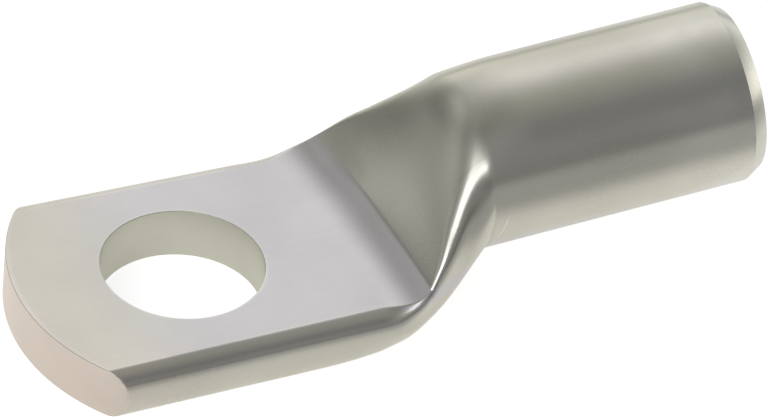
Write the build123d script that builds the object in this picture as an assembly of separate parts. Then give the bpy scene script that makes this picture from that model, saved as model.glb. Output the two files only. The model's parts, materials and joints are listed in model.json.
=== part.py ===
from build123d import *
import math
import os

# Tubular cable lug, pressed from one length of copper tube: a round barrel for the
# cable, a pressed neck, and a flat holed palm that is bolted down.
# Millimetres. The origin is the middle of the stud hole, on the underside of the palm.
# +X runs from the hole towards the barrel, +Z is up. Angles are in degrees.

# Tube
bore_diameter = 10.0
wall_thickness = 2.25
barrel_length = 19.1          # fully round part, along its own axis
barrel_tilt = 3.2             # the barrel rises slightly away from the palm
barrel_lift = 2.1             # underside of the barrel above the underside of the palm, at the step
mouth_chamfer_length = 1.2    # the outside of the mouth, along the barrel
mouth_chamfer_depth = 0.7
bore_chamfer = 0.3

# Palm: the flat tongue with the stud hole
stud_hole_diameter = 13.0
palm_width = 22.6             # over the rounded sides, at the hole
palm_taper = 0.021            # each side comes in by this much per mm towards the barrel
palm_reach = 12.0             # hole centre to where the top stops being flat
top_inset = 1.4               # from the widest line in to the crisp edge of the top
underside_inset = 1.4         # from the widest line in to the flat of the underside
widest_share = 0.56           # height of the widest line, as a share of the thickness
shoulder_angle = 25.0         # how far the side already falls where it meets the top
side_fullness = 1.35          # of the side above its widest line: 1 is an arc, more bulges
tip_reach = 13.7              # hole centre to the end of the tongue
tip_radius = 16.5             # the end is cropped to this radius

# Neck, lengths along X in the order in which the palm turns into the tube
heel_lead = 4.4               # the lower edges begin to roll up this far before the top rises
nose_length = 4.6             # rise left by the rounded nose of the punch
crease_angle = 36.0           # slope of the top at the crease where the nose ends
climb_length = 6.6            # steep part, from the crease to the step on the underside
crown_length = 4.2            # from the step to the fully round tube
top_haste = 2.7               # the middle of the top climbs early: 1 is even, more is earlier
fold_haste = 1.6              # the same for the folds

# Folds: the ridge that the squeezed tube wall leaves up each flank of the neck
side_delay = 1.7              # the sides begin to draw in this far past the flat top
flare_delay = 3.4             # the folds stand furthest out this far past the flat top
fold_flare = 0.73             # how far they stand past the line of the palm
steep_delay = 2.9             # the flank below them falls steepest this far past the crease
steep_angle = 70.0            # its slope there, where it leaves the fold
shoulder_lead = 0.55          # they are down to the tube's width this far before the step
fade_delay = 1.55             # they have died away into the tube this far past the step
fold_rounding = 0.7           # half width of their rounded top
edge_rounding = 0.12          # the same at the palm, nearly crisp
fold_spread = 31.5            # where on the tube they end, above its side
fold_half_spread = 6.0        # stretch of tube, up and down, that takes in their rounded top
belly_spread = 49.0           # stretch of tube, each side of its lowest line, for the underside

# How each form comes on along the neck: 1 is even, more than 1 is late
side_lag = 1.37               # the sides draw in
flank_lag = 2.0               # the widest line climbs
heel_lag = 1.1                # the underside lifts
under_lag = 2.0               # the underside narrows
belly_lag = 2.4               # the underside bends to the curve of the tube

# Hollow that the press leaves of the bore inside the neck
bore_overrun = 1.5            # the round bore runs on past the fully round part
closed_delay = 2.4            # the hollow closes this far past the crease
closed_gap = 1.6              # height of the slit at its end

# Cuts that shape each stretch of the neck, and how far cutting tools stand clear
heel_cuts = 3
nose_cuts = 6
climb_cuts = 9
crown_cuts = 4
hollow_cuts = 4
clear = 1.0

palm_thickness = 2 * wall_thickness   # two walls pressed together
barrel_radius = bore_diameter / 2 + wall_thickness
tilt = math.radians(barrel_tilt)
upright_radius = barrel_radius / math.cos(tilt)   # height of the tilted tube in an upright cut
barrel_axis = Vector(math.cos(tilt), 0, math.sin(tilt))
barrel_up = Vector(-math.sin(tilt), 0, math.cos(tilt))

heel_x = palm_reach - heel_lead
side_x = palm_reach + side_delay
flare_x = palm_reach + flare_delay
crease_x = palm_reach + nose_length
steep_x = crease_x + steep_delay
step_x = crease_x + climb_length
shoulder_x = step_x - shoulder_lead
fade_x = step_x + fade_delay
round_x = step_x + crown_length


def share(x, start, end):
    """How far x has come from start to end, from 0 to 1."""
    return min(max((x - start) / (end - start), 0.0), 1.0)


def ease(u):
    """Level at both ends, steepest in the middle."""
    return u * u * (3 - 2 * u)


def blend(a, b, u):
    return a + (b - a) * u


def axis_height(x):
    """Height of the tube's axis above the underside of the palm."""
    return barrel_lift + upright_radius + (x - step_x) * math.tan(tilt)


def nose_height(x):
    """Top of the palm, and the rise that the rounded nose of the punch leaves behind it."""
    run = min(max(x - palm_reach, 0.0), nose_length)
    radius = nose_length / math.sin(math.radians(crease_angle))
    return palm_thickness + radius - math.sqrt(radius**2 - run**2)


def climb_height(x, top, end, haste):
    """Beyond the crease the neck climbs steeply to top and levels off at end."""
    if x <= crease_x:
        return nose_height(x)
    return blend(nose_height(crease_x), top, 1 - (1 - share(x, crease_x, end))**haste)


def top_height(x):
    """The highest line of the lug, up the middle."""
    return climb_height(x, axis_height(x) + upright_radius, round_x, top_haste)


def top_slope(x):
    """Rise of the highest line per mm, between the crease and the round tube."""
    rise = axis_height(round_x) + upright_radius - nose_height(crease_x)
    even_slope = rise / (round_x - crease_x)
    return even_slope * top_haste * (1 - share(x, crease_x, round_x))**(top_haste - 1)


def low_height(x):
    """The lowest line of the lug, along the middle of the underside."""
    return (axis_height(x) - upright_radius) * share(x, palm_reach, step_x)**heel_lag


def half_width(x, at_palm, at_tube, u):
    """A width that follows the taper of the palm and ends on the tube."""
    return blend(at_palm - palm_taper * x, at_tube, u)


def widest_line(x):
    """Where the flank stands furthest out: half width and height."""
    drawn_in = share(x, side_x, step_x)
    y = half_width(x, palm_width / 2, barrel_radius, drawn_in**side_lag)
    z = blend(widest_share * palm_thickness, axis_height(x), drawn_in**flank_lag)
    return y, z


def fold_corner(x):
    """The corner that the rounding of the fold cuts off."""
    spread = math.radians(fold_spread)
    stand_off = 1 / math.cos(math.radians(fold_half_spread))
    tube_y = barrel_radius * stand_off * math.cos(spread)
    tube_z = axis_height(x) + upright_radius * stand_off * math.sin(spread)
    rim = palm_width / 2 - top_inset + fold_flare * ease(share(x, palm_reach, flare_x))
    y = half_width(x, rim, tube_y, ease(share(x, flare_x, shoulder_x)))
    return y, climb_height(x, tube_z, step_x, fold_haste)


def half_outline(x):
    """The right half of the upright cut at x: joints from the top line to the lowest line.

    Each joint is a point in the cut, the angle at which the outline runs through it, in
    radians, 0 outwards and negative downwards, and how full the outline is from there on.
    """
    fold_y, fold_z = fold_corner(x)
    steep = ease(share(x, palm_reach, steep_x))
    fading = ease(share(x, steep_x, fade_x))

    # the slope and the fullness of the flank where it leaves the fold, and the fold's rounding
    flank_angle = blend(shoulder_angle, steep_angle, steep)
    flank_angle = blend(flank_angle, 90 - fold_spread + fold_half_spread, fading)
    fullness = blend(side_fullness, 1, steep)
    rounding = blend(edge_rounding, fold_rounding, ease(share(x, side_x, steep_x)))
    rounding = blend(rounding, barrel_radius * math.tan(math.radians(fold_half_spread)), fading)

    # the top is one arc from its level middle to the rounding of the fold
    top_z = top_height(x)
    drop = top_z - fold_z
    bend_y = (fold_y**2 + drop**2 - rounding**2) / (2 * (fold_y + rounding))
    inward = math.atan2(-drop, fold_y - bend_y)
    outward = -math.radians(flank_angle)
    fold_top = (fold_y - rounding * math.cos(inward), fold_z - rounding * math.sin(inward))
    fold_side = (fold_y + rounding * math.cos(outward), fold_z + rounding * math.sin(outward))

    # the underside: flat under the palm, an arc under the tube
    rolled = share(x, heel_x, step_x)
    belly = math.radians(belly_spread)
    flat_y = palm_width / 2 - underside_inset
    under_y = half_width(x, flat_y, barrel_radius * math.sin(belly), rolled**under_lag)
    under_angle = belly * rolled**belly_lag
    low_z = low_height(x)
    under_z = low_z + under_y * math.tan(under_angle / 2)

    return [
        ((0, top_z), 0, 1),
        (fold_top, inward, 1),
        (fold_side, outward, fullness),
        (widest_line(x), -math.pi / 2, 1),
        ((under_y, under_z), under_angle - math.pi, 1),
        ((0, low_z), -math.pi, 1),
    ]


def outline_piece(x, start, end, side):
    """One curved stretch of the outline, bent like an arc between two joints."""
    (y0, z0), a0, fullness = start
    (y1, z1), a1, _ = end
    pull = fullness * math.hypot(y1 - y0, z1 - z0) / (3 * math.cos((a1 - a0) / 4)**2)
    points = [
        (y0, z0),
        (y0 + pull * math.cos(a0), z0 + pull * math.sin(a0)),
        (y1 - pull * math.cos(a1), z1 - pull * math.sin(a1)),
        (y1, z1),
    ]
    return Bezier(*[(x, side * y, z) for y, z in points])


def cut_outline(x):
    """The closed outline of the lug in the upright cut at x."""
    joints = half_outline(x)
    pairs = list(zip(joints, joints[1:]))
    right = [outline_piece(x, a, b, 1).edge() for a, b in pairs]
    left = [outline_piece(x, a, b, -1).edge() for a, b in reversed(pairs)]
    return Wire(right + left)


def round_outline():
    """The closed outline of the tube, square to its axis, jointed like the upright cuts."""
    centre = Vector(round_x, 0, axis_height(round_x))

    def rim(angle):
        turn = math.radians(angle)
        return centre + (Vector(0, math.cos(turn), 0) + barrel_up * math.sin(turn)) * barrel_radius

    right = [90, fold_spread + fold_half_spread, fold_spread - fold_half_spread, 0, belly_spread - 90, -90]
    left = [-180 - angle for angle in reversed(right[:-1])]
    angles = right + left
    edges = [ThreePointArc(rim(a), rim((a + b) / 2), rim(b)).edge() for a, b in zip(angles, angles[1:])]
    return Wire(edges)


def even_steps(start, end, count):
    return [blend(start, end, i / (count - 1)) for i in range(count)]


def make_palm():
    """The straight tongue, its tip cropped to an arc."""
    start = -tip_reach - clear
    tip_centre = tip_radius - tip_reach
    tongue = Solid.make_loft([cut_outline(start), cut_outline(heel_x)], ruled=True)
    with BuildPart() as crop:
        with BuildSketch():
            with Locations((start, 0)):
                Rectangle(tip_centre - start, 2 * palm_width, align=(Align.MIN, Align.CENTER))
            with Locations((tip_centre, 0)):
                Circle(tip_radius, mode=Mode.SUBTRACT)
        extrude(amount=palm_thickness + clear, both=True)
    return tongue - crop.part


def make_neck():
    """Heel, nose, climb and crown, with the crease and the step as edges between them."""
    stretches = [
        (heel_x, palm_reach, heel_cuts),
        (palm_reach, crease_x, nose_cuts),
        (crease_x, step_x, climb_cuts),
    ]
    lofts = [[cut_outline(x) for x in even_steps(*stretch)] for stretch in stretches]
    crown = [cut_outline(x) for x in even_steps(step_x, round_x, crown_cuts)[:-1]]
    lofts.append(crown + [round_outline()])
    return [Solid.make_loft(cuts) for cuts in lofts]


def make_barrel():
    """The round tube from the neck to the mouth, chamfered outside."""
    plane = Plane(origin=(round_x, 0, axis_height(round_x)), x_dir=(0, 1, 0), z_dir=barrel_axis)
    with BuildPart() as barrel:
        with BuildSketch(plane):
            Circle(barrel_radius)
        extrude(amount=barrel_length)
        mouth = barrel.faces().sort_by(Axis.X)[-1]
        chamfer(mouth.edges(), length=mouth_chamfer_depth, length2=mouth_chamfer_length, reference=mouth)
    return barrel.part


def hollow_oval(x):
    """What the press leaves of the bore at x: a flat oval, one wall inside the neck."""
    closing = share(x, round_x - bore_overrun, crease_x + closed_delay)
    roof = top_height(x) - wall_thickness * math.hypot(1, top_slope(x))
    floor = low_height(x) + wall_thickness
    width = widest_line(x)[0] - wall_thickness
    plane = Plane(origin=(x, 0, (roof + floor) / 2), x_dir=(0, 1, 0), z_dir=(-1, 0, 0))
    return plane * Ellipse(width, blend(bore_diameter, closed_gap, closing) / 2)


def make_bore():
    """The round bore with its chamfered mouth, and the hollow that the press closed behind it."""
    start = Vector(round_x, 0, axis_height(round_x))
    mouth = Plane(origin=start + barrel_axis * barrel_length, x_dir=(0, 1, 0), z_dir=-barrel_axis)
    end = mouth.offset(barrel_length + bore_overrun)
    ovals = [hollow_oval(x) for x in even_steps(end.origin.X, crease_x + closed_delay, hollow_cuts)[1:]]
    round_bore = mouth * Circle(bore_diameter / 2)
    rim = mouth * Circle(bore_diameter / 2 + bore_chamfer)
    return (
        extrude(round_bore, amount=barrel_length + bore_overrun)
        + extrude(rim, amount=bore_chamfer, taper=45)
        + loft([end * Circle(bore_diameter / 2), *ovals])
    )


def make_lug():
    palm, *rest = [make_palm(), *make_neck(), make_barrel()]
    body = palm.fuse(*rest, glue=True)   # they meet face to face
    hole = extrude(Circle(stud_hole_diameter / 2), amount=palm_thickness + clear, both=True)
    return body - hole - make_bore()


os.makedirs("parts", exist_ok=True)
export_step(make_lug(), "parts/lug_body.step")
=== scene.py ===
"""Tubular cable lug of tin-plated copper on a pale studio floor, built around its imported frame."""

import json
import math

import bmesh
import bpy
import numpy as np
from bpy.props import FloatProperty, FloatVectorProperty, IntProperty, PointerProperty
from mathutils import Matrix, Vector


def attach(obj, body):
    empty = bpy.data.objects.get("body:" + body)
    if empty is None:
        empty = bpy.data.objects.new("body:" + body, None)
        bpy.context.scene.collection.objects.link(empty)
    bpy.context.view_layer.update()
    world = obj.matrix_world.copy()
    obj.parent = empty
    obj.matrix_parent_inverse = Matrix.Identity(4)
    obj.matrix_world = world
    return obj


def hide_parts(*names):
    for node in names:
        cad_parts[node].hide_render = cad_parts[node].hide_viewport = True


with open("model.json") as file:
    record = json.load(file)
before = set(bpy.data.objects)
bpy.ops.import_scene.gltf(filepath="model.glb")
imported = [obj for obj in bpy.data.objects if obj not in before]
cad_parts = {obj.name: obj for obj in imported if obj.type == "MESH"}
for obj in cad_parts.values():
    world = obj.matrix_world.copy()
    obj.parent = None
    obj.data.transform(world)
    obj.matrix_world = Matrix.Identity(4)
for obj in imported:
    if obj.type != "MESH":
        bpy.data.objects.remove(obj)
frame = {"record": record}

bl_info = {
    "name": "Pressed Cable Lug",
    "version": (1, 0, 0),
    "blender": (4, 5, 0),
    "location": "3D View > Sidebar > Cable Lug",
    "description": "Builds a tubular cable lug, its tinned finish and its studio around the packed frame",
    "category": "Mesh",
}

MM = 0.001
NODE = "lug_body"
BODY = "root"

# What the frame gives: the holes, the round barrel and its axis
MOUNTS = {mount["name"]: mount for mount in frame["record"]["mounts"]}
STUD_RADIUS = MOUNTS["stud_hole"]["dims"]["r_mm"] * MM
THICKNESS = MOUNTS["stud_hole"]["dims"]["length_mm"] * MM
BORE_RADIUS = MOUNTS["cable_bore"]["dims"]["r_mm"] * MM
BARREL_RADIUS = MOUNTS["barrel_outside"]["dims"]["r_mm"] * MM
BORE_START = Vector(MOUNTS["cable_bore"]["pos_m"])
BARREL_AXIS = Vector(MOUNTS["cable_bore"]["axis"]).normalized()
TILT = math.atan2(BARREL_AXIS.z, BARREL_AXIS.x)
UPRIGHT_RADIUS = BARREL_RADIUS / math.cos(TILT)
WALL = BARREL_RADIUS - BORE_RADIUS
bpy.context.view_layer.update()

CLIMB_STEPS = 400  # steps of the running sum along the climb
MERGE_DISTANCE = 0.002 * MM  # points closer than this become one


def length(name, description, default):
    """A length setting, written here in millimetres."""
    return FloatProperty(
        name=name, description=description, default=default * MM, min=0.0, precision=5, unit="LENGTH"
    )


def angle(name, description, default):
    """An angle setting, written here in degrees."""
    return FloatProperty(
        name=name, description=description, default=math.radians(default), precision=3, subtype="ANGLE"
    )


def number(name, description, default):
    """A plain setting, such as a share, a slope or a power."""
    return FloatProperty(name=name, description=description, default=default, precision=3)


def whole_number(name, description, default):
    """A number of rings or columns."""
    return IntProperty(name=name, description=description, default=default, min=1)


def colour(name, description, default):
    """A colour setting, as linear light."""
    return FloatVectorProperty(
        name=name, description=description, default=default, size=3, min=0.0, subtype="COLOR"
    )


class LugShape(bpy.types.PropertyGroup):
    """Sizes of the lug, measured from the middle of the stud hole."""

    palm_width: length("Palm width", "Over the rounded sides, at the stud hole", 22.6)
    palm_taper: number("Palm taper", "Each side comes in by this share of the way to the barrel", 0.021)
    palm_reach: length("Palm reach", "From the stud hole to where the top stops being flat", 12.0)
    top_inset: length("Top inset", "From the widest line in to the crisp edge of the top", 1.4)
    underside_inset: length("Underside inset", "From the widest line in to the flat underside", 1.4)
    widest_share: number("Widest line", "Height of the widest line as a share of the thickness", 0.56)
    shoulder_angle: angle("Shoulder angle", "How far the side falls where it meets the top", 25.0)
    side_fullness: number("Side fullness", "1 bends the upper side like an arc, more makes it bulge", 1.35)
    tip_reach: length("Tip reach", "From the stud hole to the end of the tongue", 13.7)
    tip_radius: length("Tip radius", "The end of the tongue is cropped to this radius", 16.5)

    heel_lead: length("Heel lead", "The lower edges roll up this far before the top rises", 4.4)
    nose_length: length("Nose length", "Rise left by the rounded nose of the punch", 4.6)
    crease_angle: angle("Crease angle", "Slope of the top at the crease", 36.0)
    nose_power: number("Nose power", "2 bends the nose evenly, more bends it late", 2.7)
    climb_length: length("Climb length", "From the crease to the step on the underside", 6.6)
    crown_length: length("Crown length", "From the step to the fully round tube", 4.2)
    ramp_length: length("Ramp length", "Straight ramp up the middle from the crease", 1.5)
    brow_delay: length("Brow delay", "The climb up the middle bends over this far past the crease", 5.4)
    brow_softness: length("Brow softness", "Half the length of that bend", 1.5)
    ramp_slope: number("Ramp slope", "Rise over run of the ramp, before it is fitted to the tube", 1.82)
    brow_slope: number("Slope below the brow", "The same where the bend begins", 1.55)
    crown_slope: number("Slope above the brow", "The same where it ends", 0.5)
    fold_haste: number("Fold haste", "1 climbs evenly along the folds, more climbs early", 1.6)

    side_delay: length("Side delay", "The sides draw in from this far past the flat top", 1.7)
    flare_delay: length("Flare delay", "The folds stand furthest out this far past the flat top", 3.4)
    fold_flare: length("Fold flare", "How far the folds stand past the line of the palm", 0.73)
    steep_delay: length("Steep delay", "The flank falls steepest this far past the crease", 2.9)
    steep_angle: angle("Steep angle", "Slope of the flank there, where it leaves the fold", 62.0)
    shoulder_lead: length("Shoulder lead", "The folds reach the tube's width this far before the step", 0.55)
    fade_delay: length("Fade delay", "The folds have died away this far past the step", 1.55)
    fold_rounding: length("Fold rounding", "Half width of the rounded top of the folds", 1.4)
    edge_rounding: length("Edge rounding", "Half width of the rounding along the palm", 0.12)
    fold_spread: angle("Fold spread", "Where on the tube the folds end, above its side", 31.5)
    fold_half_spread: angle("Fold half spread", "Stretch of tube that takes in their top", 6.0)
    belly_spread: angle("Belly spread", "Stretch of tube each side of its lowest line", 49.0)

    side_lag: number("Side lag", "1 draws the sides in evenly, more draws them in late", 1.37)
    flank_lag: number("Flank lag", "1 raises the widest line evenly, more raises it late", 2.0)
    heel_lag: number("Heel lag", "1 lifts the underside evenly, more lifts it late", 1.1)
    under_lag: number("Under lag", "1 narrows the underside evenly, more narrows it late", 2.0)
    belly_lag: number("Belly lag", "1 bends the underside evenly, more bends it late", 2.4)

    press_shift: length("Press shift", "The punch landed this much nearer the stud hole", 0.25)
    press_skew: number("Press skew", "It landed askew: towards the stud hole by this share of y", 0.075)
    nose_skew: number("Nose skew", "The same where its rounded nose starts", 0.13)
    press_bow: length("Press bow", "The crease bows by this much at the edge of the palm", 0.3)

    soft_reach: length("Soft reach", "The far end of the crease is averaged out this far each way", 0.9)
    soft_start: length("Soft start", "The crease grows soft from this far beyond the middle line", 2.0)
    soft_end: length("Soft end", "It is fully soft here", 8.0)

    mouth_chamfer_length: length("Mouth chamfer length", "Outside of the mouth, along the barrel", 1.2)
    mouth_chamfer_depth: length("Mouth chamfer depth", "Outside of the mouth, across the wall", 0.7)
    bore_chamfer: length("Bore chamfer", "Inside of the mouth", 0.3)
    bore_overrun: length("Bore overrun", "The round bore runs on past the fully round part", 1.5)
    closed_delay: length("Closed delay", "The hollow closes this far past the crease", 2.4)
    closed_gap: length("Closed gap", "Height of the slit where the hollow closes", 1.6)
    cut_edge: length("Cut edge", "Rounding of the sawn edges", 0.06)
    hole_edge: length("Hole edge", "Rounding of the punched rims of the stud hole", 0.05)

    @property
    def heel_x(self):
        return self.palm_reach - self.heel_lead

    @property
    def side_x(self):
        return self.palm_reach + self.side_delay

    @property
    def flare_x(self):
        return self.palm_reach + self.flare_delay

    @property
    def crease_x(self):
        return self.palm_reach + self.nose_length

    @property
    def steep_x(self):
        return self.crease_x + self.steep_delay

    @property
    def step_x(self):
        return self.crease_x + self.climb_length

    @property
    def shoulder_x(self):
        return self.step_x - self.shoulder_lead

    @property
    def fade_x(self):
        return self.step_x + self.fade_delay

    @property
    def round_x(self):
        return self.step_x + self.crown_length


class LugGrid(bpy.types.PropertyGroup):
    """How finely the surface is divided."""

    flat_columns: whole_number("Flat columns", "Across half a flat, over the hole", 26)
    flat_share: number("Flat share", "Those columns take up this share of half the flat", 0.78)
    edge_columns: whole_number("Edge columns", "From there to the edge of the flat", 12)
    fold_columns: whole_number("Fold columns", "Over the rounded edge or fold", 8)
    flank_columns: whole_number("Flank columns", "Over each half of the side", 22)
    ring_spacing: length("Ring spacing", "Between rings along the neck", 0.12)
    palm_spacing: length("Palm spacing", "Between rings along the palm", 0.5)
    corner_rings: whole_number("Corner rings", "Over each rounded edge", 5)
    hole_rings: whole_number("Hole rings", "Round each rim of the stud hole", 8)
    barrel_rings: whole_number("Barrel rings", "Along the first half of the barrel", 9)
    bore_rings: whole_number("Bore rings", "Down the second half of the bore", 11)
    hollow_rings: whole_number("Hollow rings", "From the bore to the slit", 13)


class LugFinish(bpy.types.PropertyGroup):
    """The tin plating, clean, with a painted reflection on the palm's top, worn and with a painted highlight
    on the edges, and painted shade in the crease and the stud hole: first its colours, then where they lie.
    """

    tin: colour("Tin", "The clean plating", (0.66, 0.648, 0.58))
    # Painted reflection: a cooler, lilac tint on the palm's top that stands in for the light it reflects
    # there
    top_sheen: colour("Burnish", "The top of the palm, rubbed by the press", (0.65, 0.635, 0.655))
    # Lighter along sharp outward edges: wear, and a painted highlight along them; the die line takes it as
    # its painted highlight
    worn_and_highlight: colour("Worn", "Rubbed bright along the edges", (0.8, 0.79, 0.74))
    # Painted shade: the darker colour laid into the crease and other inward bends, where shade falls
    crease_shade: colour("Grime", "Dull film left in the crease", (0.5, 0.48, 0.42))
    # Copper on the cut end, painted lighter and warmer as the reflection of the pale floor; the painted
    # reflection spreads onto the skin beside it too
    cropped: colour("Cropped end", "Copper blushes through where the tongue was cropped", (0.73, 0.65, 0.59))
    # Painted shade: the wall of the stud hole is a little darker, as the shade inside the recess; its added
    # roughness is the duller punched finish
    punched_and_shaded: colour("Punched wall", "Duller wall of the stud hole", (0.64, 0.635, 0.56))

    roughness: number("Roughness", "Of the clean plating", 0.26)
    roughness_drift: number("Roughness drift", "How far the roughness wanders", 0.05)
    dullness: number("Dullness", "Roughness added in the crease and in the stud hole", 0.12)
    mottle: number("Mottle", "How far the plating's shade wanders", 0.05)
    mottle_size: length("Mottle size", "Of the patches of shade", 6.0)
    grain_size: length("Grain size", "Of the satin grain", 0.1)
    grain_depth: length("Grain depth", "Height of the grain", 0.0006)
    line_gap: length("Line gap", "Between the faint lines left by drawing the tube", 0.35)
    line_length: length("Line length", "Of those lines", 14.0)
    line_share: number("Line share", "Their height, as a share of the grain's", 0.4)
    line_mottle: number("Line mottle", "How far their shade wanders", 0.0167)

    sharp_radius: length("Sharp radius", "An edge rounder than this keeps its plating", 1.0)
    least_wear: number("Least wear", "Along a sharp edge, where it is rubbed least", 0.35)
    most_wear: number("Most wear", "The same where it is rubbed most", 0.9)
    # How much painted shade a sharp crease takes, least and most, varied by the patches of the mottle
    least_crease_shade: number("Least grime", "In a sharp crease, where it is rubbed most", 0.3)
    most_crease_shade: number("Most grime", "The same where it is rubbed least", 0.7)
    # Where the painted reflection on the palm's top lies
    top_sheen_end: length("Burnish end", "From the stud hole towards the barrel, to where it is full", 1.0)
    top_sheen_fade: length("Burnish fade", "It fades over this length towards the tip", 12.0)
    top_sheen_rim: length("Burnish rim", "It fades away this far below the palm's top", 0.2)
    top_sheen_rise: length("Burnish rise", "It fades away this far above the crease", 0.3)
    # How far the copper and the painted warm reflection reach onto the skin beside the cut end
    blush_and_sheen: number("Blush", "How far copper shows through beside the cropped end", 0.3)
    blush_and_sheen_depth: length("Blush depth", "The blush reaches this far in from there", 7.0)
    # The die line: a faint raised line that is also painted lighter, as a painted highlight
    mark_width: length("Die mark width", "Of the line where the die let go, on each flank", 0.14)
    mark_x: length("Die mark", "From the stud hole to its lower end", 23.6)
    mark_lean: number("Die mark lean", "It leans away from the palm by this share of its height", 0.167)
    mark_depth: length("Die mark depth", "How far the line stands out", 0.03)
    mark_top: length("Die mark top", "Height at which it has faded away", 9.646)
    mark_fade: length("Die mark fade", "It fades over this height", 1.5)
    mark_start: number("Die mark start", "It starts this share of the tube's radius out", 0.72)
    mark_full: number("Die mark full", "It is whole from this share on", 0.85)


class LugStudio(bpy.types.PropertyGroup):
    """Camera, floor and lamp, at the angle of the photograph."""

    azimuth: angle("Azimuth", "Camera's turn about the upright axis", -25.17)
    elevation: angle("Elevation", "Camera's height above the floor", 39.88)
    roll: angle("Roll", "Camera's lean", 4.69)
    lens: FloatProperty(name="Lens", description="Focal length in millimetres", default=854.9, unit="CAMERA")
    distance: length("Distance", "From the camera to the stud hole, along the view", 1428.57)
    aim_right: length("Aim right", "The view's middle, to the right of the stud hole", 16.019)
    aim_up: length("Aim up", "The view's middle, above the stud hole", 7.784)

    floor_size: length("Floor size", "Side of the floor", 4000.0)
    floor_gap: length("Floor gap", "The floor lies this far under the palm", 0.01)
    floor_paint: colour("Floor paint", "The floor's own pale paint", (0.8, 0.8, 0.8))
    floor_glow: colour("Floor glow", "Added for the camera, so that it shows white", (0.74, 0.74, 0.75))
    floor_shine: colour("Floor shine", "Added for the metal's reflections", (0.46, 0.45, 0.42))
    shine_start: length("Shine start", "The shine is whole up to here, in front of the lug", 9.0)
    shine_end: length("Shine end", "It has faded away here", 25.0)
    pool_start: length("Pool start", "The shine is whole up to here, all round the stud hole", 60.0)
    pool_end: length("Pool end", "It has faded away here", 210.0)

    strip_colour: colour("Strip colour", "Of the small lamp that picks out the near fold", (1.0, 1.0, 1.0))
    strip_radiance: FloatProperty(name="Strip radiance", description="1 shows as white", default=2.0)
    strip_length: length("Strip length", "Along the floor", 380.0)
    strip_height: length("Strip height", "Its other side", 250.0)
    strip_distance: length("Strip distance", "From the lug", 500.0)
    strip_azimuth: angle("Strip azimuth", "From +Y towards +X", -132.0)
    strip_elevation: angle("Strip elevation", "Above the floor", 34.0)


# Soft lights all round the lug: azimuth from +Y towards +X, elevation and spread, in degrees, and radiance
SOFT_LIGHTS = {
    "key softbox": (20, 44, 20, (0.95, 0.94, 0.94)),
    "back panel": (4, 0, 18, (0.8, 0.8, 0.7)),
    "back right panel": (45, 0, 13, (0.82, 0.82, 0.77)),
    "right panel": (75, 0, 13, (1.19, 1.21, 1.16)),
    "far right panel": (96, 2, 14, (1.4, 1.38, 1.3)),
    "left panel": (-75, 0, 13, (0.9, 0.9, 0.85)),
    "back left softbox": (-45, 30, 13, (0.45, 0.45, 0.44)),
    "left softbox": (-105, 30, 13, (0.64, 0.63, 0.64)),
    "front left fill": (-150, 45, 20, (0.4, 0.4, 0.41)),
    "front fill": (160, 25, 18, (0.21, 0.21, 0.21)),
    "low front fill": (165, 0, 14, (0.12, 0.12, 0.12)),
    "ceiling left": (-60, 60, 13, (0.21, 0.21, 0.18)),
    "ceiling right": (90, 75, 16, (0.28, 0.28, 0.24)),
    "ceiling front": (135, 60, 13, (0.08, 0.08, 0.1)),
}


def share(x, start, end):
    """How far x has come from start to end, from 0 to 1."""
    return np.clip((x - start) / (end - start), 0.0, 1.0)


def ease(u):
    """Level at both ends, steepest in the middle: 3u^2 - 2u^3."""
    return u * u * (3 - 2 * u)


def blend(a, b, u):
    """From a to b as u goes from 0 to 1."""
    return a + (b - a) * u


def axis_height(x):
    """Height of the barrel's axis at x: a straight line through the start of the bore."""
    return BORE_START.z + (x - BORE_START.x) * math.tan(TILT)


def nose_height(shape, x):
    """Flat palm, then a power of the way to the crease, which it reaches at the slope of the crease."""
    rise = shape.nose_length * math.tan(shape.crease_angle) / shape.nose_power
    return THICKNESS + rise * share(x, shape.palm_reach, shape.crease_x) ** shape.nose_power


def fold_height(shape, x, tube_z):
    """The nose, then from the crease up to the tube by 1 - (1 - u)^haste, u the way to the step."""
    start = nose_height(shape, np.minimum(x, shape.crease_x))
    return blend(start, tube_z, 1 - (1 - share(x, shape.crease_x, shape.step_x)) ** shape.fold_haste)


def top_climb(shape, x):
    """Share of the climb up the middle at x, and how fast it grows.

    The slope is even along the ramp, falls evenly to the brow, bends over there and then falls
    evenly to the tube's own; the climb is its running sum.
    """
    line = np.linspace(shape.crease_x, shape.round_x, CLIMB_STEPS)
    brow = shape.crease_x + shape.brow_delay
    ramp_end = shape.crease_x + shape.ramp_length
    below = blend(shape.ramp_slope, shape.brow_slope, share(line, ramp_end, brow))
    above = blend(shape.crown_slope, math.tan(TILT), share(line, brow, shape.round_x))
    bent = ease(share(line, brow - shape.brow_softness, brow + shape.brow_softness))
    slope = blend(below, above, bent)
    step = line[1] - line[0]
    climbed = np.concatenate([[0], np.cumsum((slope[1:] + slope[:-1]) / 2) * step])
    return np.interp(x, line, climbed / climbed[-1]), np.interp(x, line, slope / climbed[-1])


def top_height(shape, x):
    """The nose, then the climb up the middle to the top of the tube."""
    start = nose_height(shape, np.minimum(x, shape.crease_x))
    end = axis_height(shape.round_x) + UPRIGHT_RADIUS
    return blend(start, end, top_climb(shape, x)[0])


def top_slope(shape, x):
    """Slope of the climb up the middle at x."""
    rise = axis_height(shape.round_x) + UPRIGHT_RADIUS - nose_height(shape, shape.crease_x)
    return rise * top_climb(shape, x)[1]


def low_height(shape, x):
    """The underside lifts from the palm to the step as a power of the way."""
    return (axis_height(x) - UPRIGHT_RADIUS) * share(x, shape.palm_reach, shape.step_x) ** shape.heel_lag


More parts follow.
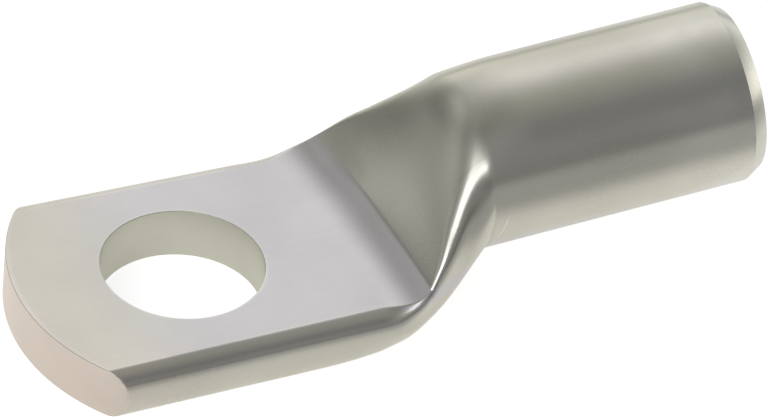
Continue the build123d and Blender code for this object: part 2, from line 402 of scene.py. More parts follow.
def widest_line(shape, x):
    """Half width and height of the flank's widest line, drawn in from the palm to the tube."""
    drawn_in = share(x, shape.side_x, shape.step_x)
    at_palm = shape.palm_width / 2 - shape.palm_taper * x
    y = blend(at_palm, BARREL_RADIUS, drawn_in**shape.side_lag)
    z = blend(shape.widest_share * THICKNESS, axis_height(x), drawn_in**shape.flank_lag)
    return y, z


def fold_corner(shape, x):
    """The corner that the rounding of the fold cuts off, from the palm's edge to the tube."""
    stand_off = 1 / math.cos(shape.fold_half_spread)
    tube_y = BARREL_RADIUS * stand_off * math.cos(shape.fold_spread)
    tube_z = axis_height(x) + UPRIGHT_RADIUS * stand_off * math.sin(shape.fold_spread)
    flare = shape.fold_flare * ease(share(x, shape.palm_reach, shape.flare_x))
    rim = shape.palm_width / 2 - shape.top_inset + flare - shape.palm_taper * x
    y = blend(rim, tube_y, ease(share(x, shape.flare_x, shape.shoulder_x)))
    return y, fold_height(shape, x, tube_z)


def half_outline(shape, x):
    """Six joints of the right half outline at each x, top to bottom.

    Gives arrays y, z, running angle and how full the outline is from the joint on.
    """
    zero = np.zeros_like(x)
    fold_y, fold_z = fold_corner(shape, x)
    steep = ease(share(x, shape.palm_reach, shape.steep_x))
    fading = ease(share(x, shape.steep_x, shape.fade_x))
    tube_angle = math.pi / 2 - shape.fold_spread + shape.fold_half_spread
    outward = -blend(blend(shape.shoulder_angle, shape.steep_angle, steep), tube_angle, fading)
    swelling = ease(share(x, shape.crease_x, shape.steep_x))
    rounding = blend(shape.edge_rounding, shape.fold_rounding, swelling)
    rounding = blend(rounding, BARREL_RADIUS * math.tan(shape.fold_half_spread), fading)

    top_z = top_height(shape, x)
    drop = top_z - fold_z
    bend_y = (fold_y**2 + drop**2 - rounding**2) / (2 * (fold_y + rounding))
    inward = np.arctan2(-drop, fold_y - bend_y)

    rolled = share(x, shape.heel_x, shape.step_x)
    flat_y = shape.palm_width / 2 - shape.underside_inset - shape.palm_taper * x
    under_y = blend(flat_y, BARREL_RADIUS * math.sin(shape.belly_spread), rolled**shape.under_lag)
    under_angle = shape.belly_spread * rolled**shape.belly_lag
    low_z = low_height(shape, x)
    side_y, side_z = widest_line(shape, x)

    y = [
        zero,
        fold_y - rounding * np.cos(inward),
        fold_y + rounding * np.cos(outward),
        side_y,
        under_y,
        zero,
    ]
    z = [
        top_z,
        fold_z - rounding * np.sin(inward),
        fold_z + rounding * np.sin(outward),
        side_z,
        low_z + under_y * np.tan(under_angle / 2),
        low_z,
    ]
    turn = [zero, inward, outward, zero - math.pi / 2, under_angle - math.pi, zero - math.pi]
    full = np.ones_like(turn)
    full[2] = blend(shape.side_fullness, 1, steep)
    return np.array(y), np.array(z), np.array(turn), full


def column_shares(grid):
    """Where the columns lie on each of the five stretches of the half outline, from 0 to 1.

    They are even but on the flats, where they close up towards the edge by the sine of the way.
    """
    over_hole = np.linspace(0, grid.flat_share, grid.flat_columns + 1)[:-1]
    closing_up = np.sin(np.linspace(0, math.pi / 2, grid.edge_columns + 1))
    to_edge = blend(grid.flat_share, 1.0, closing_up)
    flat = np.concatenate([over_hole, to_edge])
    fold = np.linspace(0, 1, grid.fold_columns + 1)
    flank = np.linspace(0, 1, grid.flank_columns + 1)
    return [flat, fold, flank, flank, 1 - flat[::-1]]


def outlines(shape, grid, x):
    """Closed outlines at each x, as (y, z) arrays with one row a ring.

    Each stretch is a cubic curve, pulled along the directions of its ends and bent like an arc:
    the pull is a third of the chord over the squared cosine of a quarter of the turn, times its
    fullness. The left half mirrors the right.
    """
    y, z, turn, full = half_outline(shape, x)
    halves = []
    for i, t in enumerate(column_shares(grid)):
        chord = np.hypot(y[i + 1] - y[i], z[i + 1] - z[i])
        pull = full[i] * chord / (3 * np.cos((turn[i + 1] - turn[i]) / 4) ** 2)
        ends = []
        for p, direction in ((y, np.cos), (z, np.sin)):
            p1 = p[i] + pull * direction(turn[i])
            p2 = p[i + 1] - pull * direction(turn[i + 1])
            weights = np.stack([(1 - t) ** 3, 3 * t * (1 - t) ** 2, 3 * t**2 * (1 - t), t**3])
            ends.append(np.einsum("kx,kt->xt", np.stack([p[i], p1, p2, p[i + 1]]), weights)[:, :-1])
        halves.append(np.stack(ends))
    right = np.concatenate(halves, axis=2)
    bottom = np.stack([y[-1], z[-1]])[:, :, None]
    left = right[:, :, :0:-1] * np.array([-1, 1])[:, None, None]
    return np.concatenate([right, bottom, left], axis=2)


def press_askew(shape, points):
    """Moves the nose and the crease towards the stud hole by shift + skew y + bow (y / half width)^2.

    The skew changes evenly along the nose. The move is whole from the flat's end to the crease and
    dies away smoothly to the heel and to the step.
    """
    x, y = points[..., 0], points[..., 1]
    across = y / (shape.palm_width / 2)
    skew = blend(shape.nose_skew, shape.press_skew, share(x, shape.palm_reach, shape.crease_x))
    move = shape.press_shift + skew * y + shape.press_bow * across**2
    near = ease(share(x, shape.heel_x, shape.palm_reach)) * ease(1 - share(x, shape.crease_x, shape.step_x))
    points[..., 0] -= move * near


def soften_crease(shape, grid, points):
    """On the far side, where the punch only grazed the tube, the crease is averaged out.

    Each line of points along the neck becomes its moving average, one soft reach each way. The
    change is whole at the crease and dies away over three soft reaches.
    """
    reach = int(round(shape.soft_reach / grid.ring_spacing))
    x, y = points[..., 0], points[..., 1]
    off = abs(x - shape.crease_x + shape.press_shift + shape.press_skew * y) / (3 * shape.soft_reach)
    weight = ease(share(y, shape.soft_start, shape.soft_end)) * ease(1 - off.clip(0, 1))
    ends = np.pad(points, ((reach + 1, reach), (0, 0), (0, 0)), mode="edge")
    total = np.cumsum(ends, axis=0)
    mean = (total[2 * reach + 1 :] - total[: -2 * reach - 1]) / (2 * reach + 1)
    points += (mean - points) * weight[..., None]


def grid_faces(rows, columns, closed):
    """Four-cornered faces of a grid of points numbered row by row.

    Closed joins the last column to the first.
    """
    index = np.arange(rows * columns).reshape(rows, columns)
    if closed:
        index = np.concatenate([index, index[:, :1]], axis=1)
    return np.stack([index[:-1, :-1], index[:-1, 1:], index[1:, 1:], index[1:, :-1]], axis=-1)


def stations(start, end, spacing):
    """Evenly spaced values from start up to but not at end."""
    count = max(int(math.ceil(abs(end - start) / spacing)), 1)
    return np.linspace(start, end, count + 1)[:-1]


def tip_x(shape, y):
    """The cropping circle at y."""
    return shape.tip_radius - shape.tip_reach - np.sqrt(shape.tip_radius**2 - y**2)


def tip_rings(shape, grid, start):
    """Rings from the crop edge back to start, and the rounded crop edge before them.

    A ring lies part of the way from the straight cut at start to the cropping circle. The palm
    keeps its cut there and only tapers, so its y is linear in x. As x depends on y too, both are
    worked out in turn, and a few rounds settle them.
    """
    at_zero, at_start = outlines(shape, grid, np.array([0.0, start])).transpose(1, 0, 2)
    taper = (at_start[0] - at_zero[0]) / start
    z = at_zero[1]
    edge = shape.cut_edge
    count = int(math.ceil((shape.tip_reach + start) / grid.palm_spacing))
    away = np.linspace(1, 0, count + 1)[:-1, None]
    y = np.broadcast_to(at_zero[0], (count, len(z)))
    for _ in range(4):
        x = blend(start, tip_x(shape, y) + edge, away)
        y = at_zero[0] + taper * x
    skin = np.stack([x, y, np.broadcast_to(z, x.shape)], axis=-1)

    tangent = np.roll(skin[0], -1, axis=0) - np.roll(skin[0], 1, axis=0)
    normal = np.stack([tangent[:, 2] * 0, -tangent[:, 2], tangent[:, 1]], axis=-1)
    normal /= np.linalg.norm(normal, axis=1, keepdims=True)
    turn = np.linspace(math.pi / 2, 0, grid.corner_rings)[:-1, None, None]
    rounded = skin[0] - edge * (1 - np.cos(turn)) * normal
    rounded[..., 0] = tip_x(shape, rounded[..., 1]) + edge * (1 - np.sin(turn[..., 0]))
    return np.concatenate([rounded, skin])


def crop_face(shape, grid, ring):
    """The cropped end, stretched between the four sides of the first ring, on the cropping circle.

    It is the blend from left to right plus that from top to bottom, less that of the corners.
    """
    flat = grid.flat_columns + grid.edge_columns
    side = grid.fold_columns + 2 * grid.flank_columns
    loop = np.roll(ring, flat, axis=0)
    top = loop[: 2 * flat + 1]
    right = loop[2 * flat : 2 * flat + side + 1]
    bottom = loop[2 * flat + side : 4 * flat + side + 1][::-1]
    left = np.concatenate([loop[4 * flat + side :], loop[:1]])[::-1]
    u = np.linspace(0, 1, 2 * flat + 1)[None, :, None]
    v = np.linspace(0, 1, side + 1)[:, None, None]
    across = blend(left[:, None], right[:, None], u)
    down = blend(top[None], bottom[None], v)
    corners = blend(blend(top[0], top[-1], u), blend(bottom[0], bottom[-1], u), v)
    points = across + down - corners
    points[..., 0] = tip_x(shape, points[..., 1])
    return points


def hole_patch(shape, grid, block, z):
    """Rings of points from the rim of the stud hole out to the edge of a block of the grid.

    Each lies (i / count)^1.5 of the way out, so they are closest at the rim. Gives the angle of
    each point of the rim too.
    """
    edge = np.concatenate([block[0, :-1], block[:-1, -1], block[-1, :0:-1], block[:0:-1, 0]])
    around = np.arctan2(edge[:, 1], edge[:, 0])
    radius = STUD_RADIUS + shape.hole_edge
    rim = np.stack([radius * np.cos(around), radius * np.sin(around), np.full(len(around), z)], axis=1)
    out = np.linspace(0, 1, grid.hole_rings)[:, None, None] ** 1.5
    return blend(rim, edge, out), around


def rounded_profile(corners, radius, count):
    """A line of (along, across) points, each inner corner rounded by an arc of count points.

    With half the corner's angle h, the arc's centre is radius / sin h in from the corner and
    the arc turns through pi - 2h.
    """
    corners = np.array(corners)
    points = [corners[:1]]
    for before, corner, after in zip(corners, corners[1:], corners[2:]):
        a = (before - corner) / np.linalg.norm(before - corner)
        b = (after - corner) / np.linalg.norm(after - corner)
        half = math.acos(a @ b) / 2
        inward = (a + b) / (2 * math.cos(half))
        onward = (b - a) / (2 * math.sin(half))
        turn = np.linspace(half - math.pi / 2, math.pi / 2 - half, count)[:, None]
        centre = corner + inward * radius / math.sin(half)
        points.append(centre + radius * (onward * np.sin(turn) - inward * np.cos(turn)))
    return np.concatenate([*points, corners[-1:]])


def hole_wall(shape, grid, top_rim, low_rim):
    """Rings down the wall of the stud hole, with its rounded rims.

    A point's angle goes evenly from its angle on the low rim to that on the top one.
    """
    edge = shape.hole_edge
    out = STUD_RADIUS + 2 * edge
    corners = [(out, THICKNESS), (STUD_RADIUS, THICKNESS), (STUD_RADIUS, 0), (out, 0)]
    wall = rounded_profile(corners, edge, grid.corner_rings)[1:-1]
    radius, height = wall[:, :1], wall[:, 1:]
    turns = blend(np.unwrap(low_rim), np.unwrap(top_rim), (height / THICKNESS).clip(0, 1))
    around = [radius * np.cos(turns), radius * np.sin(turns)]
    return np.stack([*around, np.broadcast_to(height, turns.shape)], axis=-1)


def barrel_rings(shape, grid, around):
    """Rings over the barrel, round its mouth and down its bore.

    Each ring is a circle about the axis; those of the barrel lean from the upright cut to square.
    """
    start = Vector((shape.round_x, 0, axis_height(shape.round_x)))
    mouth = (BORE_START - start).dot(BARREL_AXIS) + shape.bore_chamfer
    corners = [
        (mouth / 2, BARREL_RADIUS),
        (mouth - shape.mouth_chamfer_length, BARREL_RADIUS),
        (mouth, BARREL_RADIUS - shape.mouth_chamfer_depth),
        (mouth, BORE_RADIUS + shape.bore_chamfer),
        (mouth - shape.bore_chamfer, BORE_RADIUS),
        (mouth / 2, BORE_RADIUS),
    ]
    profile = rounded_profile(corners, shape.cut_edge, grid.corner_rings)
    leaning = np.linspace(1, 0, grid.barrel_rings + 1)
    up = mouth / 2 * (1 - leaning[:-1])
    down = np.linspace(mouth / 2, -shape.bore_overrun, grid.bore_rings + 1)[1:]
    straight = np.stack([up, np.full(len(up), BARREL_RADIUS)], axis=1)
    bore = np.stack([down, np.full(len(down), BORE_RADIUS)], axis=1)
    profile = np.concatenate([straight, profile, bore])
    lean = np.zeros(len(profile))
    lean[: len(leaning)] = leaning

    along, across = profile[:, :1], profile[:, 1:]
    shift = along + lean[:, None] * across * np.sin(around) * math.tan(TILT)
    height = across * np.sin(around)
    x = start.x + shift * BARREL_AXIS.x - height * BARREL_AXIS.z
    z = start.z + shift * BARREL_AXIS.z + height * BARREL_AXIS.x
    return np.stack([x, across * np.cos(around), z], axis=-1)


def hollow_rings(shape, grid, around):
    """Ovals one wall inside the neck, from the end of the round bore to a slit, then its closing point.

    Half the height goes evenly from the bore's radius to that of the slit. Half the width is the
    neck's less the wall.
    """
    start, end = shape.round_x - shape.bore_overrun, shape.crease_x + shape.closed_delay
    x = np.linspace(start, end, grid.hollow_rings + 1)[1:, None]
    closing = share(x, start, end)
    roof = top_height(shape, x) - WALL * np.hypot(1, top_slope(shape, x))
    middle = (roof + low_height(shape, x) + WALL) / 2
    half_height = blend(BORE_RADIUS, shape.closed_gap / 2, closing)
    half_width = widest_line(shape, x)[0] - WALL
    y = half_width * np.cos(around)
    z = middle + half_height * np.sin(around)
    rings = np.stack([np.broadcast_to(x, y.shape), y, z], axis=-1)
    point = np.broadcast_to([x[-1, 0], 0, middle[-1, 0]], (1, len(around), 3))
    return np.concatenate([rings, point])


def build_mesh(name, patches):
    """One closed mesh from grids of points: each patch is its points and its faces."""
    points, faces, start = [], [], 0
    for patch, patch_faces in patches:
        flat = patch.reshape(-1, 3)
        points.append(flat)
        faces.append(patch_faces.reshape(-1, 4) + start)
        start += len(flat)
    mesh = bpy.data.meshes.new(name)
    mesh.from_pydata(np.concatenate(points), [], np.concatenate(faces))
    bm = bmesh.new()
    bm.from_mesh(mesh)
    bmesh.ops.remove_doubles(bm, verts=bm.verts, dist=MERGE_DISTANCE)
    bmesh.ops.recalc_face_normals(bm, faces=bm.faces)
    bm.to_mesh(mesh)
    bm.free()
    mesh.polygons.foreach_set("use_smooth", np.ones(len(mesh.polygons), bool))
    mesh.update()
    return mesh


def lug_mesh(shape, grid):
    """The whole skin: palm with its hole, neck, barrel, bore and hollow."""
    palm = stations(-shape.heel_x, shape.heel_x, grid.palm_spacing)
    stops = [shape.heel_x, shape.palm_reach, shape.crease_x, shape.step_x, shape.round_x]
    neck = [stations(start, end, grid.ring_spacing) for start, end in zip(stops, stops[1:])]
    x = np.concatenate([palm, *neck, stops[-1:]])
    y, z = outlines(shape, grid, x)
    skin = np.stack([np.broadcast_to(x[:, None], y.shape), y, z], axis=-1)
    tip = tip_rings(shape, grid, -shape.heel_x)
    around = np.arctan2(z[-1] - axis_height(shape.round_x), y[-1])
    press_askew(shape, skin)
    for _ in range(2):  # twice, as one mean still leaves corners
        soften_crease(shape, grid, skin)
    barrel = barrel_rings(shape, grid, around)
    skin = np.concatenate([tip, skin[:-1], barrel, hollow_rings(shape, grid, around)])

    # The stud hole: a block of faces comes out of each flat, and a round patch goes in
    rows, columns = skin.shape[:2]
    first, last = len(tip), len(tip) + len(palm)
    half = grid.flat_columns
    faces = grid_faces(rows, columns, closed=True)
    keep = np.ones(faces.shape[:2], bool)
    patches, rims = [], []
    for middle, height in ((0, THICKNESS), (columns // 2, 0.0)):
        in_block = (np.arange(-half, half + 1) + middle) % columns
        keep[first:last, in_block[:-1]] = False
        block = skin[first : last + 1][:, in_block]
        if height == 0.0:
            block = block[:, ::-1]
        patch, rim = hole_patch(shape, grid, block, height)
        patches.append((patch, grid_faces(*patch.shape[:2], closed=True)))
        rims.append(rim)
    hole = hole_wall(shape, grid, *rims)
    end = crop_face(shape, grid, skin[0])
    patches += [
        (skin, faces[keep]),
        (hole, grid_faces(*hole.shape[:2], closed=True)),
        (end, grid_faces(*end.shape[:2], closed=False)),
    ]
    return build_mesh(NODE, patches)


def edge_attributes(mesh, sharp_radius):
    """Two point attributes from 0 to 1: edge where the skin bends sharply outwards, crease where inwards.

    Along each edge of the mesh the skin bends by the difference of its ends' normals along the
    edge, over the edge's length. A point takes the mean over its edges, times sharp_radius.
    """
    count = len(mesh.vertices)
    points = np.empty(3 * count)
    normals = np.empty(3 * count)
    ends = np.empty(2 * len(mesh.edges), int)
    mesh.vertices.foreach_get("co", points)
    mesh.vertices.foreach_get("normal", normals)
    mesh.edges.foreach_get("vertices", ends)
    points, normals, ends = points.reshape(-1, 3), normals.reshape(-1, 3), ends.reshape(-1, 2)
    along = points[ends[:, 1]] - points[ends[:, 0]]
    turn = normals[ends[:, 1]] - normals[ends[:, 0]]
    bend = (along * turn).sum(axis=1) / (along * along).sum(axis=1)
    total = np.zeros(count)
    touching = np.zeros(count)
    for end in ends.T:
        np.add.at(total, end, bend)
        np.add.at(touching, end, 1)
    mean = total / touching * sharp_radius
    for name, values in (("edge", mean), ("crease", -mean)):
        attribute = mesh.attributes.new(name, "FLOAT", "POINT")
        attribute.data.foreach_set("value", values.clip(0, 1).astype(np.float32))


def feed(tree, socket, value):
    """Links the socket that value is, or sets the number, vector or colour that it is."""
    if isinstance(value, bpy.types.NodeSocket):
        tree.links.new(value, socket)
    elif socket.type == "RGBA":
        socket.default_value = (*value, 1.0)
    else:
        socket.default_value = value


def add_node(tree, kind, settings=None, **inputs):
    """A new node: settings are its own, and inputs are values or the sockets that feed it, by name."""
    new = tree.nodes.new("ShaderNode" + kind)
    for name, value in (settings or {}).items():
        setattr(new, name, value)
    for name, value in inputs.items():
        feed(tree, new.inputs[name.replace("_", " ")], value)
    return new


def calculate(tree, operation, *values):
    """A Math node's result."""
    new = add_node(tree, "Math", {"operation": operation})
    for socket, value in zip(new.inputs, values):
        feed(tree, socket, value)
    return new.outputs["Value"]


def product(tree, first, *others):
    """All the values multiplied together."""
    for other in others:
        first = calculate(tree, "MULTIPLY", first, other)
    return first


def vector_length(tree, vector):
    """A vector's length."""
    return add_node(tree, "VectorMath", {"operation": "LENGTH"}, Vector=vector).outputs["Value"]


def off_upright(tree, place, x):
    """Level distance from the upright line through (x, 0)."""
    level = add_node(tree, "Mapping", Vector=place, Location=(-x, 0, 0), Scale=(1, 1, 0))
    return vector_length(tree, level.outputs["Vector"])


def stretch(tree, value, from_min, from_max, to_min=0.0, to_max=1.0):
    """A smooth Map Range's result."""
    new = add_node(
        tree,
        "MapRange",
        {"interpolation_type": "SMOOTHSTEP"},
        Value=value,
        From_Min=from_min,
        From_Max=from_max,
        To_Min=to_min,
        To_Max=to_max,
    )
    return new.outputs["Result"]


def mix_colours(tree, factor, a, b, blend_type="MIX"):
    """A colour Mix node's result."""
    new = add_node(tree, "Mix", {"data_type": "RGBA", "blend_type": blend_type})
    # A Mix node has these three sockets once for each data type; 6, 7 and 2 are those of colours
    for socket, value in ((new.inputs[0], factor), (new.inputs[6], a), (new.inputs[7], b)):
        feed(tree, socket, value)
    return new.outputs[2]


def noise(tree, place, size, detail):
    """Noise with features of that size, as a value about 0.5; place is in metres."""
    new = add_node(tree, "TexNoise", Vector=place, Scale=1 / size, Detail=detail)
    return new.outputs["Fac"]


def blend_nodes(tree, value, start, end):
    """From start to end as the value goes from 0 to 1."""
    return calculate(tree, "MULTIPLY_ADD", value, end - start, start)


def top_sheen_mask(tree, shape, finish, x, z):
    """1 on the palm's top as far as the crease, fading out towards the tip: where the painted reflection
    lies.
    """
    rim_z = THICKNESS - finish.top_sheen_rim
    crease_z = float(nose_height(shape, shape.crease_x))
    on_top = stretch(tree, z, rim_z, rim_z + finish.top_sheen_rim * 3 / 4)
    ahead = stretch(tree, x, finish.top_sheen_end - finish.top_sheen_fade, finish.top_sheen_end)
    before_crease = stretch(tree, z, crease_z, crease_z + finish.top_sheen_rise, 1.0, 0.0)
    return product(tree, on_top, ahead, before_crease)


def blush_and_sheen_mask(tree, shape, finish, place, x):
    """1 on the cropped end, and a faint share of it on the skin beside it: copper where the cut bares it,
    and a painted warm reflection of the floor, lighter than the tin.

    Both go by the distance from the middle of the cropping circle, whose far side is left out.
    """
    off_middle = off_upright(tree, place, shape.tip_radius - shape.tip_reach)
    end, edge = shape.tip_radius, shape.tip_radius - shape.cut_edge
    on_end = stretch(tree, off_middle, edge, edge + shape.cut_edge * 3 / 4)
    beside = stretch(tree, off_middle, end - finish.blush_and_sheen_depth, end, 0.0, finish.blush_and_sheen)
    tip_side = stretch(tree, x, 0.0, -0.1 * MM)
    return product(tree, tip_side, calculate(tree, "MAXIMUM", on_end, beside))


def die_line_and_highlight(tree, finish, x, y, z):
    """1 on the leaning line low on each flank where the die let go of the barrel: a faint raised line, also
    painted lighter as its highlight.
    """
    upright_x = calculate(tree, "MULTIPLY_ADD", z, -finish.mark_lean, x)
    off_line = calculate(tree, "SUBTRACT", upright_x, finish.mark_x - finish.mark_lean * THICKNESS)
    line = stretch(tree, calculate(tree, "ABSOLUTE", off_line), finish.mark_width, 0.0)
    start, full = finish.mark_start * BARREL_RADIUS, finish.mark_full * BARREL_RADIUS
    flank = stretch(tree, calculate(tree, "ABSOLUTE", y), start, full)
    low = stretch(tree, z, finish.mark_top, finish.mark_top - finish.mark_fade)
    return product(tree, line, flank, low)


def tin_material(shape, finish):
    """Satin tin plating: mottled, painted cooler on the palm's top as its reflection, worn and painted
    lighter along edges as their highlight, painted shade and dullness in the crease and the stud hole,
    copper and painted warm reflection at the cut end, and a painted highlight on the die line.
    """
    material = bpy.data.materials.new("tin_plating")
    material.use_nodes = True
    tree = material.node_tree
    shader = tree.nodes["Principled BSDF"]
    place = add_node(tree, "TexCoord").outputs["Object"]
    x, y, z = add_node(tree, "SeparateXYZ", Vector=place).outputs
    edge = add_node(tree, "Attribute", {"attribute_name": "edge"}).outputs["Fac"]
    crease = add_node(tree, "Attribute", {"attribute_name": "crease"}).outputs["Fac"]
    drawn_out = (finish.line_gap / finish.line_length, 1, 1)
    along_barrel = add_node(tree, "Mapping", Vector=place, Rotation=(0, TILT, 0), Scale=drawn_out)
    patches = noise(tree, place, finish.mottle_size, 3)
    grain = noise(tree, place, finish.grain_size, 2)
    lines = noise(tree, along_barrel.outputs["Vector"], finish.line_gap, 1)

    patchy = stretch(tree, patches, 0.35, 0.6)  # noise seldom leaves this stretch
    # Sharp outward edges: wear, and a painted edge highlight
    worn_and_highlight = product(tree, edge, blend_nodes(tree, patchy, finish.least_wear, finish.most_wear))
    # Painted shade: darker in inward bends such as the crease, more or less by the patches
    shaded_crease = product(tree, crease, blend_nodes(tree, patchy, finish.most_crease_shade, finish.least_crease_shade))
    # The stud hole's wall: duller punched finish, and painted shade of the recess
    punched_and_shaded = stretch(tree, off_upright(tree, place, 0), STUD_RADIUS + shape.hole_edge, STUD_RADIUS)
    mark_and_highlight = die_line_and_highlight(tree, finish, x, y, z)
    # Painted reflection: the palm's top takes a cooler tint, as of the light it reflects
    tint = mix_colours(tree, top_sheen_mask(tree, shape, finish, x, z), finish.tin, finish.top_sheen)
    tint = mix_colours(tree, worn_and_highlight, tint, finish.worn_and_highlight)
    # Copper and painted warm reflection at the cropped end and beside it
    tint = mix_colours(tree, blush_and_sheen_mask(tree, shape, finish, place, x), tint, finish.cropped)
    # Painted shade on the wall of the stud hole
    tint = mix_colours(tree, punched_and_shaded, tint, finish.punched_and_shaded)
    # Painted shade in the crease
    tint = mix_colours(tree, shaded_crease, tint, finish.crease_shade)
    # Painted highlight: the die line takes the light colour of the edges
    tint = mix_colours(tree, mark_and_highlight, tint, finish.worn_and_highlight)
    mottle = blend_nodes(tree, patches, 1 - finish.mottle, 1 + finish.mottle)
    streaks = blend_nodes(tree, lines, 1 - finish.line_mottle, 1 + finish.line_mottle)
    shade = product(tree, mottle, streaks)
    shaded = add_node(tree, "VectorMath", {"operation": "SCALE"}, Vector=tint, Scale=shade)
    tree.links.new(shaded.outputs["Vector"], shader.inputs["Base Color"])

    most, least = finish.roughness + finish.roughness_drift, finish.roughness - finish.roughness_drift
    fine = finish.roughness_drift / 2
    rough = blend_nodes(tree, patches, most, least)
    rough = calculate(tree, "ADD", rough, blend_nodes(tree, grain, -fine, fine))
    dull = calculate(tree, "MAXIMUM", shaded_crease, punched_and_shaded)
    rough = calculate(tree, "MULTIPLY_ADD", dull, finish.dullness, rough)
    tree.links.new(rough, shader.inputs["Roughness"])

    height = calculate(tree, "MULTIPLY_ADD", lines, finish.line_share, grain)
    height = calculate(tree, "MULTIPLY_ADD", mark_and_highlight, finish.mark_depth / finish.grain_depth, height)
    bump = add_node(tree, "Bump", Height=height, Distance=finish.grain_depth)
    tree.links.new(bump.outputs["Normal"], shader.inputs["Normal"])
    shader.inputs["Metallic"].default_value = 1.0
    return material


class LUG_OT_body(bpy.types.Operator):
    """Builds the lug in one piece and gives it its tin plating"""

    bl_idname = "lug.body"
    bl_label = "Build Lug"

    def execute(self, context):
        scene = context.scene
        mesh = lug_mesh(scene.lug_shape, scene.lug_grid)
        lug = bpy.data.objects.new("lug", mesh)
        scene.collection.objects.link(lug)
        edge_attributes(mesh, scene.lug_finish.sharp_radius)
        mesh.materials.append(tin_material(scene.lug_shape, scene.lug_finish))
        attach(lug, BODY)
        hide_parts(NODE)
        return {"FINISHED"}


def camera_matrix(studio):
    """Turn about Z, then up, then lean; the view's middle is aim_right and aim_up from the stud hole."""
    turn, rise = studio.azimuth, studio.elevation
    back = Vector((math.sin(turn) * math.cos(rise), -math.cos(turn) * math.cos(rise), math.sin(rise)))
    level = Vector((math.cos(turn), math.sin(turn), 0))
    upright = back.cross(level)
    right = level * math.cos(studio.roll) + upright * math.sin(studio.roll)
    up = upright * math.cos(studio.roll) - level * math.sin(studio.roll)
    place = right * studio.aim_right + up * studio.aim_up + back * studio.distance
    matrix = Matrix((right, up, back)).transposed().to_4x4()
    matrix.translation = place
    return matrix


def aim(azimuth, elevation):
    """Unit vector that way: azimuth from +Y towards +X."""
    level = math.cos(elevation)
    return Vector((math.sin(azimuth) * level, math.cos(azimuth) * level, math.sin(elevation)))


def soft_light_group():
    """Light that fades all round its aim: colour times e^(sharpness (c - 1)).

    c is the cosine of the angle off the aim.
    """
    group = bpy.data.node_groups.new("soft_light", "ShaderNodeTree")
    for name, kind in (
        ("Direction", "NodeSocketVector"),
        ("Aim", "NodeSocketVector"),
        ("Sharpness", "NodeSocketFloat"),
        ("Colour", "NodeSocketColor"),
    ):
        group.interface.new_socket(name, in_out="INPUT", socket_type=kind)
    group.interface.new_socket("Light", in_out="OUTPUT", socket_type="NodeSocketColor")
    given = group.nodes.new("NodeGroupInput").outputs
    cosine = add_node(group, "VectorMath", {"operation": "DOT_PRODUCT"})
    feed(group, cosine.inputs[0], given["Direction"])
    feed(group, cosine.inputs[1], given["Aim"])
    off = calculate(group, "SUBTRACT", cosine.outputs["Value"], 1.0)
    fading = calculate(group, "EXPONENT", product(group, off, given["Sharpness"]))
    lit = add_node(group, "VectorMath", {"operation": "SCALE"}, Vector=given["Colour"], Scale=fading)
    result = group.nodes.new("NodeGroupOutput")
    group.links.new(lit.outputs["Vector"], result.inputs["Light"])
    return group


def studio_world():
    """A dim room with soft lights round the lug; the camera sees plain white beyond the floor."""
    world = bpy.data.worlds.new("studio")
    world.use_nodes = True
    tree = world.node_tree
    direction = add_node(tree, "TexCoord").outputs["Generated"]
    group = soft_light_group()
    light = (0.0, 0.0, 0.0)
    for azimuth, elevation, spread, radiance in SOFT_LIGHTS.values():
        soft = add_node(
            tree,
            "Group",
            {"node_tree": group},
            Direction=direction,
            Aim=aim(math.radians(azimuth), math.radians(elevation)),
            Sharpness=1 / math.radians(spread) ** 2,
            Colour=radiance,
        )
        light = mix_colours(tree, 1.0, light, soft.outputs["Light"], "ADD")
    to_camera = add_node(tree, "LightPath").outputs["Is Camera Ray"]
    shown = mix_colours(tree, to_camera, light, (1, 1, 1))
    tree.links.new(shown, tree.nodes["Background"].inputs["Color"])
    return world


def floor_material(studio):
    """Pale paint that shows white to the camera, and to the metal as far as the shine reaches.

    From below it is clear, so that the underside of the lug can be seen.
    """
    material = bpy.data.materials.new("floor_paint")
    material.use_nodes = True
    tree = material.node_tree
    shader = tree.nodes["Principled BSDF"]
    shader.inputs["Base Color"].default_value = (*studio.floor_paint, 1.0)
    shader.inputs["Roughness"].default_value = 1.0
    shader.inputs["Specular IOR Level"].default_value = 0.0
    place = add_node(tree, "TexCoord").outputs["Object"]
    forward = add_node(tree, "SeparateXYZ", Vector=place).outputs["Y"]
    behind = stretch(tree, forward, -studio.shine_end, -studio.shine_start)
    near = stretch(tree, vector_length(tree, place), studio.pool_end, studio.pool_start)
    path = add_node(tree, "LightPath").outputs
    reflected = calculate(tree, "MAXIMUM", path["Is Glossy Ray"], path["Is Transmission Ray"])
    shine = mix_colours(tree, product(tree, behind, near, reflected), (0, 0, 0), studio.floor_shine)
    glow = mix_colours(tree, path["Is Camera Ray"], shine, studio.floor_glow)
    tree.links.new(glow, shader.inputs["Emission Color"])
    shader.inputs["Emission Strength"].default_value = 1.0
    sided = add_node(tree, "MixShader", Fac=add_node(tree, "NewGeometry").outputs["Backfacing"])
    tree.links.new(shader.outputs["BSDF"], sided.inputs[1])
    tree.links.new(add_node(tree, "BsdfTransparent").outputs["BSDF"], sided.inputs[2])
    tree.links.new(sided.outputs["Shader"], tree.nodes["Material Output"].inputs["Surface"])
    return material


def floor_mesh(studio):
    """A square, its corners half a side from the stud hole's axis both ways."""
    half, z = studio.floor_size / 2, -studio.floor_gap
    mesh = bpy.data.meshes.new("floor")
    corners = [(-half, -half, z), (half, -half, z), (half, half, z), (-half, half, z)]
    mesh.from_pydata(corners, [], [(0, 1, 2, 3)])
    mesh.materials.append(floor_material(studio))
    return mesh


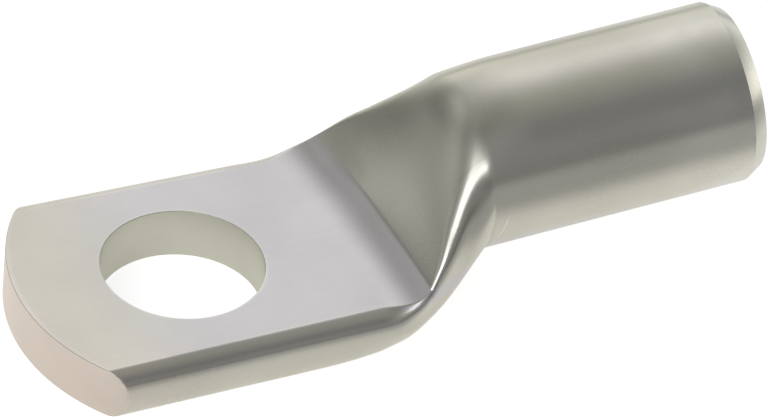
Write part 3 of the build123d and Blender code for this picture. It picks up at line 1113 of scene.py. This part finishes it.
class LUG_OT_stage(bpy.types.Operator):
    """Lays the floor and sets the lights and the camera"""

    bl_idname = "lug.stage"
    bl_label = "Set Stage"

    def execute(self, context):
        scene = context.scene
        studio = scene.lug_studio
        camera = bpy.data.cameras.new("camera")
        camera.lens = studio.lens
        seat = bpy.data.objects.new("camera", camera)
        seat.matrix_world = camera_matrix(studio)
        scene.collection.objects.link(seat)
        scene.camera = seat

        floor = bpy.data.objects.new("floor", floor_mesh(studio))
        scene.collection.objects.link(floor)

        lamp = bpy.data.lights.new("strip", "AREA")
        lamp.shape = "RECTANGLE"
        lamp.size = studio.strip_length
        lamp.size_y = studio.strip_height
        lamp.color = studio.strip_colour
        # An area lamp's power is pi times its radiance and its area
        lamp.energy = math.pi * studio.strip_radiance * studio.strip_length * studio.strip_height
        strip = bpy.data.objects.new("strip", lamp)
        towards = aim(studio.strip_azimuth, studio.strip_elevation)
        crease = Vector((scene.lug_shape.crease_x, 0, THICKNESS))
        matrix = towards.to_track_quat("Z", "Y").to_matrix().to_4x4()
        matrix.translation = crease + towards * studio.strip_distance
        strip.matrix_world = matrix
        strip.visible_camera = False
        scene.collection.objects.link(strip)

        scene.world = studio_world()
        scene.view_settings.view_transform = "Standard"
        return {"FINISHED"}


class LUG_PT_panel(bpy.types.Panel):
    """Lists the lug's operators"""

    bl_idname = "LUG_PT_panel"
    bl_label = "Cable Lug"
    bl_space_type = "VIEW_3D"
    bl_region_type = "UI"
    bl_category = "Cable Lug"

    def draw(self, context):
        self.layout.operator("lug.body")
        self.layout.operator("lug.stage")


GROUPS = {"lug_shape": LugShape, "lug_grid": LugGrid, "lug_finish": LugFinish, "lug_studio": LugStudio}
CLASSES = (*GROUPS.values(), LUG_OT_body, LUG_OT_stage, LUG_PT_panel)


def register():
    """Registers the classes and gives the scene its settings."""
    for cls in CLASSES:
        bpy.utils.register_class(cls)
    for name, group in GROUPS.items():
        setattr(bpy.types.Scene, name, PointerProperty(type=group))


def unregister():
    """Takes the settings and the classes away again."""
    for name in GROUPS:
        delattr(bpy.types.Scene, name)
    for cls in reversed(CLASSES):
        bpy.utils.unregister_class(cls)


def main():
    """Builds the lug and its stage."""
    register()
    bpy.ops.lug.body()
    bpy.ops.lug.stage()


if __name__ == "__main__":
    main()
